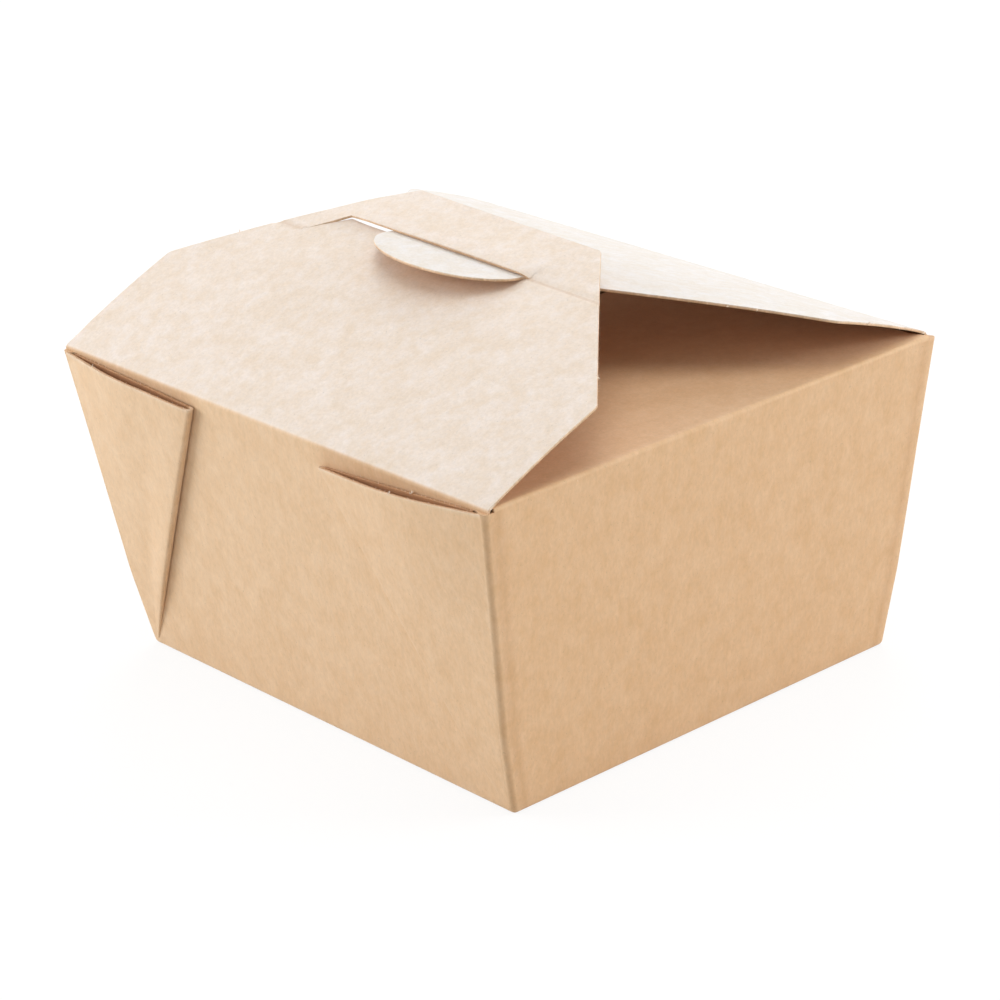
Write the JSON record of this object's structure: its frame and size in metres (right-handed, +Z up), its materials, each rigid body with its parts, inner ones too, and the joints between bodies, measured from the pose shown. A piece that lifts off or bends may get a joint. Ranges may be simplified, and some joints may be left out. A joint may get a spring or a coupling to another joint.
{
  "type": "takeaway box",
  "caption": "Folded kraft board food carton: tapered tray, outside corner pleats, level dust flaps and two main flaps locked by a tongue in a slit.",
  "frame": {"origin": "centre of the base on the face it stands on", "axes": "+Z up, X along the hinge lines of the two main flaps, the slit flap's hinge on the -Y side"},
  "size_m": [0.1292, 0.1154, 0.0875],
  "materials": {
    "kraft_board": "matt uncoated kraft board"
  },
  "bodies": {
    "carton_body": {"carton": "kraft_board", "locking_tongue": "kraft_board"},
    "slit_flap": {"slit_flap": "kraft_board"}
  },
  "joints": [
    {"name": "slit_flap_hinge", "type": "hinge", "parent": "carton_body", "child": "slit_flap", "pos_m": [0, -0.05555, 0.06475], "axis": [1, 0, 0], "range_deg": [0, 150], "deforming": ["locking_tongue"]}
  ]
}
